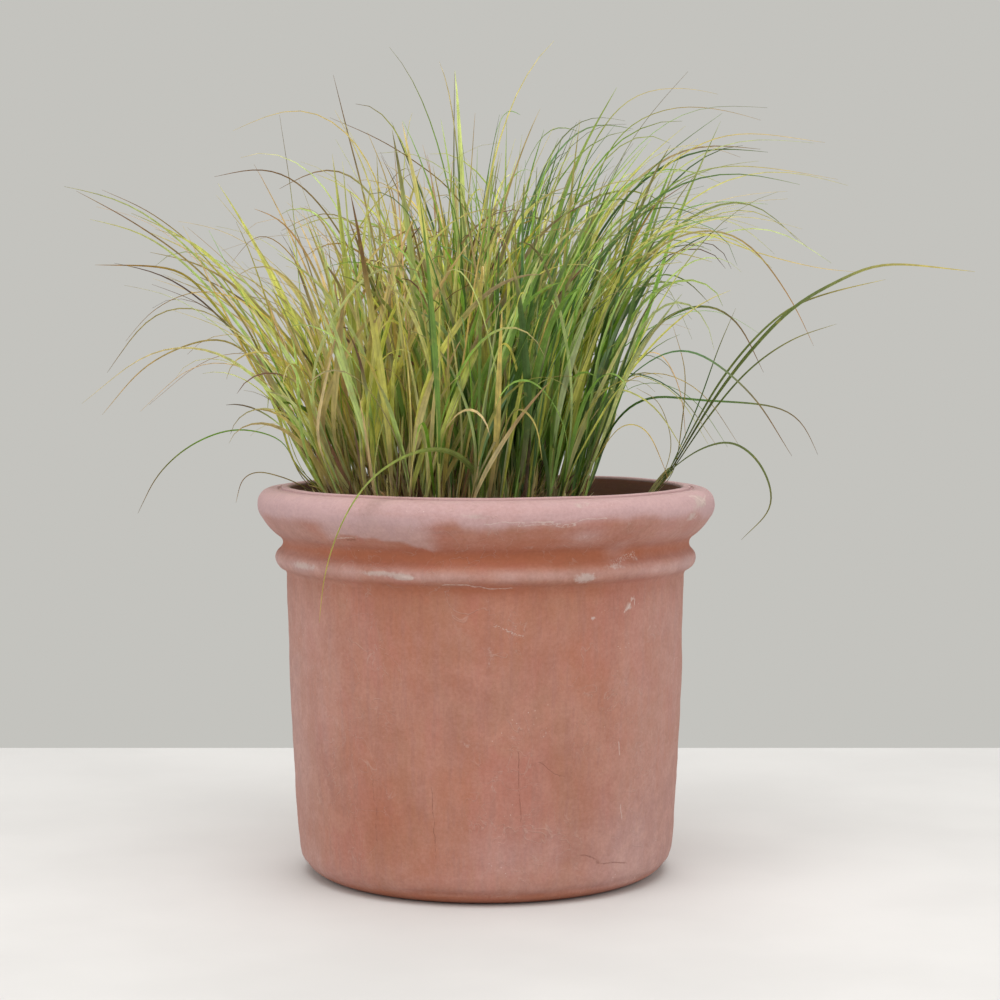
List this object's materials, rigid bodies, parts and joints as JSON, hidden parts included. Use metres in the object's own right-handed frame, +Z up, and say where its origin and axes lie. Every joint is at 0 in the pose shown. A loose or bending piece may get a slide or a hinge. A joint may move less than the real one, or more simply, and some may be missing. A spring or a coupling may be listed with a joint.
{
  "type": "terracotta pot",
  "caption": "Round unglazed terracotta planter with a rolled rim, a raised band under it and a drain hole, holding an arching ornamental grass that lifts out.",
  "frame": {"origin": "centre of the drain hole's lower end, in the plane of the pot's underside and of the ground", "axes": "+Z up along the pot's axis; the front of the pot faces -Y; +X is to the right seen from the front"},
  "size_m": [1.1536, 0.8773, 1.0675],
  "materials": {
    "terracotta": "matt, fired, unglazed",
    "crock": "matt, broken edges",
    "gravel": "rough",
    "fleece": "matt, felted",
    "compost": "loose, fibrous",
    "roots": "matted fibres",
    "crown": "matted straw",
    "sheath_red": "satin",
    "sheath_green": "satin",
    "leaf_yellow": "satin",
    "leaf_green": "satin"
  },
  "bodies": {
    "pot": {"pot": "terracotta", "drain_crock": "crock", "crock_shards": "crock", "drainage_gravel": "gravel", "filter_fleece": "fleece"},
    "planting": {"compost": "compost", "root_ball_left": "roots", "root_ball_right": "roots", "root_ball_side": "roots", "crown_left": "crown", "crown_right": "crown", "crown_side": "crown", "tillers_left": "sheath_red", "tillers_right": "sheath_green", "leaf_blades_left": "leaf_yellow", "leaf_blades_right": "leaf_green", "leaf_blades_front": "leaf_yellow", "leaf_blades_back": "leaf_green", "side_shoot": "sheath_green", "side_shoot_blades": "leaf_green"}
  },
  "joints": [
    {"name": "planting_lift", "type": "slide", "parent": "pot", "child": "planting", "axis": [0, 0, 1], "range_m": [0, 0.45]}
  ]
}
